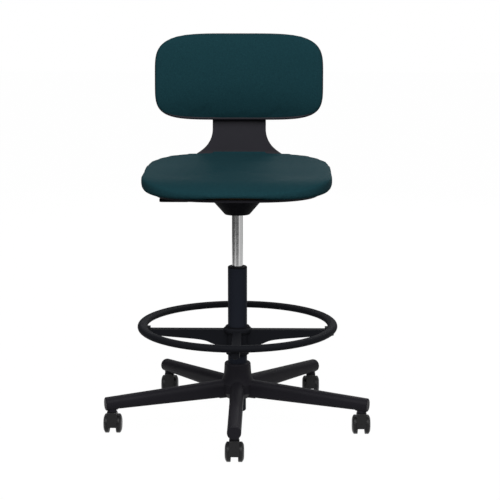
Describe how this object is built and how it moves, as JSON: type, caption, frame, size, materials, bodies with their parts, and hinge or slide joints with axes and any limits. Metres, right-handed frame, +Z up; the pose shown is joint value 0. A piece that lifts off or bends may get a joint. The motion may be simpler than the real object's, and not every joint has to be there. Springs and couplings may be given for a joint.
{
  "type": "drafting chair",
  "caption": "High swivel work chair: upholstered seat and backrest, gas lift, height-adjustable foot ring and moulded star base on twin-wheel casters.",
  "frame": {"origin": "on the floor, on the axis of the column", "axes": "+Z up the column, -Y towards the front of the seat, +X to the right as seen from the front"},
  "size_m": [0.6892, 0.6747, 1.0118],
  "materials": {
    "base_moulding": "fine moulded grain, satin",
    "column_paint": "black powder coat, semi-gloss",
    "dark_nylon": "moulded, satin",
    "bright_chrome": "polished chrome",
    "steel": "bright drawn steel",
    "black_steel": "black powder coat, satin",
    "buffer_rubber": "matt",
    "ring_moulding": "fine moulded grain, satin",
    "caster_nylon": "moulded, satin",
    "shell_moulding": "fine moulded grain, satin",
    "plywood": "sawn, unfinished",
    "seat_cloth": "woven upholstery cloth"
  },
  "bodies": {
    "base": {"base_star": "base_moulding", "column_tube": "column_paint", "guide_bush": "dark_nylon", "bearing_race_lower": "steel", "bearing_balls": "steel", "caster_1_stem": "steel", "caster_2_stem": "steel", "caster_3_stem": "steel", "caster_4_stem": "steel", "caster_5_stem": "steel"},
    "lift_rod": {"piston_rod": "steel", "rod_clip": "steel", "bearing_race_upper": "steel", "gas_piston": "dark_nylon", "bump_stop": "buffer_rubber"},
    "seat": {"pressure_tube": "bright_chrome", "rod_guide": "dark_nylon", "mechanism_frame": "black_steel", "mechanism_cover": "dark_nylon", "frame_screws": "steel", "lever_pin": "steel", "seat_shell": "shell_moulding", "seat_board": "plywood", "board_screws": "steel", "seat_pad": "seat_cloth"},
    "height_lever": {"height_lever": "black_steel", "lever_grip": "dark_nylon"},
    "valve_pin": {"valve_pin": "steel"},
    "back": {"back_slider": "dark_nylon", "back_clamp_bolt": "steel", "back_cover": "shell_moulding", "cover_screws": "steel", "back_pad": "seat_cloth"},
    "back_knob": {"back_knob": "dark_nylon"},
    "ring_sleeve": {"ring_sleeve": "dark_nylon", "sleeve_cap": "dark_nylon"},
    "foot_ring": {"ring_spider": "ring_moulding", "foot_ring": "ring_moulding", "ring_screws": "steel"},
    "ring_knob": {"ring_clamp_knob": "dark_nylon"},
    "caster_1": {"caster_1_hood": "caster_nylon", "caster_1_axle": "steel"},
    "caster_1_left": {"caster_1_wheel_left": "caster_nylon"},
    "caster_1_right": {"caster_1_wheel_right": "caster_nylon"},
    "caster_2": {"caster_2_hood": "caster_nylon", "caster_2_axle": "steel"},
    "caster_2_left": {"caster_2_wheel_left": "caster_nylon"},
    "caster_2_right": {"caster_2_wheel_right": "caster_nylon"},
    "caster_3": {"caster_3_hood": "caster_nylon", "caster_3_axle": "steel"},
    "caster_3_left": {"caster_3_wheel_left": "caster_nylon"},
    "caster_3_right": {"caster_3_wheel_right": "caster_nylon"},
    "caster_4": {"caster_4_hood": "caster_nylon", "caster_4_axle": "steel"},
    "caster_4_left": {"caster_4_wheel_left": "caster_nylon"},
    "caster_4_right": {"caster_4_wheel_right": "caster_nylon"},
    "caster_5": {"caster_5_hood": "caster_nylon", "caster_5_axle": "steel"},
    "caster_5_left": {"caster_5_wheel_left": "caster_nylon"},
    "caster_5_right": {"caster_5_wheel_right": "caster_nylon"}
  },
  "joints": [
    {"name": "seat_swivel", "type": "hinge", "parent": "base", "child": "lift_rod", "pos_m": [0, 0, 0.05], "axis": [0, 0, 1], "continuous": true},
    {"name": "seat_height", "type": "slide", "parent": "lift_rod", "child": "seat", "axis": [0, 0, 1], "range_m": [-0.125, 0.075]},
    {"name": "lever_lift", "type": "hinge", "parent": "seat", "child": "height_lever", "pos_m": [-0.03, 0, 0.612], "axis": [0, 1, 0], "range_deg": [0, 6], "stiffness_Nm_per_rad": 3, "springref_deg": -5.73},
    {"name": "valve_press", "type": "slide", "parent": "seat", "child": "valve_pin", "axis": [0, 0, 1], "range_m": [-0.0036, 0]},
    {"name": "back_height", "type": "slide", "parent": "seat", "child": "back", "axis": [0, 0.1045, 0.9945], "range_m": [-0.04, 0.03]},
    {"name": "back_knob_turn", "type": "hinge", "parent": "back", "child": "back_knob", "pos_m": [0, 0.22968, 0.84425], "axis": [0, 0.9945, -0.1045], "range_deg": [0, 360]},
    {"name": "ring_height", "type": "slide", "parent": "base", "child": "ring_sleeve", "axis": [0, 0, 1], "range_m": [-0.02, 0.145]},
    {"name": "ring_turn", "type": "hinge", "parent": "ring_sleeve", "child": "foot_ring", "pos_m": [0, 0, 0.25], "axis": [0, 0, 1], "continuous": true},
    {"name": "ring_knob_turn", "type": "hinge", "parent": "foot_ring", "child": "ring_knob", "pos_m": [0, 0, 0.228], "axis": [0.7071, 0.7071, 0], "range_deg": [0, 360]},
    {"name": "caster_1_swivel", "type": "hinge", "parent": "base", "child": "caster_1", "pos_m": [0, -0.3375, 0.05], "axis": [0, 0, 1], "continuous": true},
    {"name": "caster_1_left_roll", "type": "hinge", "parent": "caster_1", "child": "caster_1_left", "pos_m": [0, -0.3195, 0.025], "axis": [1, 0, 0], "continuous": true},
    {"name": "caster_1_right_roll", "type": "hinge", "parent": "caster_1", "child": "caster_1_right", "pos_m": [0, -0.3195, 0.025], "axis": [1, 0, 0], "continuous": true},
    {"name": "caster_2_swivel", "type": "hinge", "parent": "base", "child": "caster_2", "pos_m": [0.32098, -0.10429, 0.05], "axis": [0, 0, 1], "continuous": true},
    {"name": "caster_2_left_roll", "type": "hinge", "parent": "caster_2", "child": "caster_2_left", "pos_m": [0.32098, -0.08629, 0.025], "axis": [1, 0, 0], "continuous": true},
    {"name": "caster_2_right_roll", "type": "hinge", "parent": "caster_2", "child": "caster_2_right", "pos_m": [0.32098, -0.08629, 0.025], "axis": [1, 0, 0], "continuous": true},
    {"name": "caster_3_swivel", "type": "hinge", "parent": "base", "child": "caster_3", "pos_m": [0.19838, 0.27304, 0.05], "axis": [0, 0, 1], "continuous": true},
    {"name": "caster_3_left_roll", "type": "hinge", "parent": "caster_3", "child": "caster_3_left", "pos_m": [0.19838, 0.29104, 0.025], "axis": [1, 0, 0], "continuous": true},
    {"name": "caster_3_right_roll", "type": "hinge", "parent": "caster_3", "child": "caster_3_right", "pos_m": [0.19838, 0.29104, 0.025], "axis": [1, 0, 0], "continuous": true},
    {"name": "caster_4_swivel", "type": "hinge", "parent": "base", "child": "caster_4", "pos_m": [-0.19838, 0.27304, 0.05], "axis": [0, 0, 1], "continuous": true},
    {"name": "caster_4_left_roll", "type": "hinge", "parent": "caster_4", "child": "caster_4_left", "pos_m": [-0.19838, 0.29104, 0.025], "axis": [1, 0, 0], "continuous": true},
    {"name": "caster_4_right_roll", "type": "hinge", "parent": "caster_4", "child": "caster_4_right", "pos_m": [-0.19838, 0.29104, 0.025], "axis": [1, 0, 0], "continuous": true},
    {"name": "caster_5_swivel", "type": "hinge", "parent": "base", "child": "caster_5", "pos_m": [-0.32098, -0.10429, 0.05], "axis": [0, 0, 1], "continuous": true},
    {"name": "caster_5_left_roll", "type": "hinge", "parent": "caster_5", "child": "caster_5_left", "pos_m": [-0.32098, -0.08629, 0.025], "axis": [1, 0, 0], "continuous": true},
    {"name": "caster_5_right_roll", "type": "hinge", "parent": "caster_5", "child": "caster_5_right", "pos_m": [-0.32098, -0.08629, 0.025], "axis": [1, 0, 0], "continuous": true}
  ],
  "couplings": [
    {"joint": "valve_press", "follows": "lever_lift", "m_per_rad": -0.033}
  ]
}
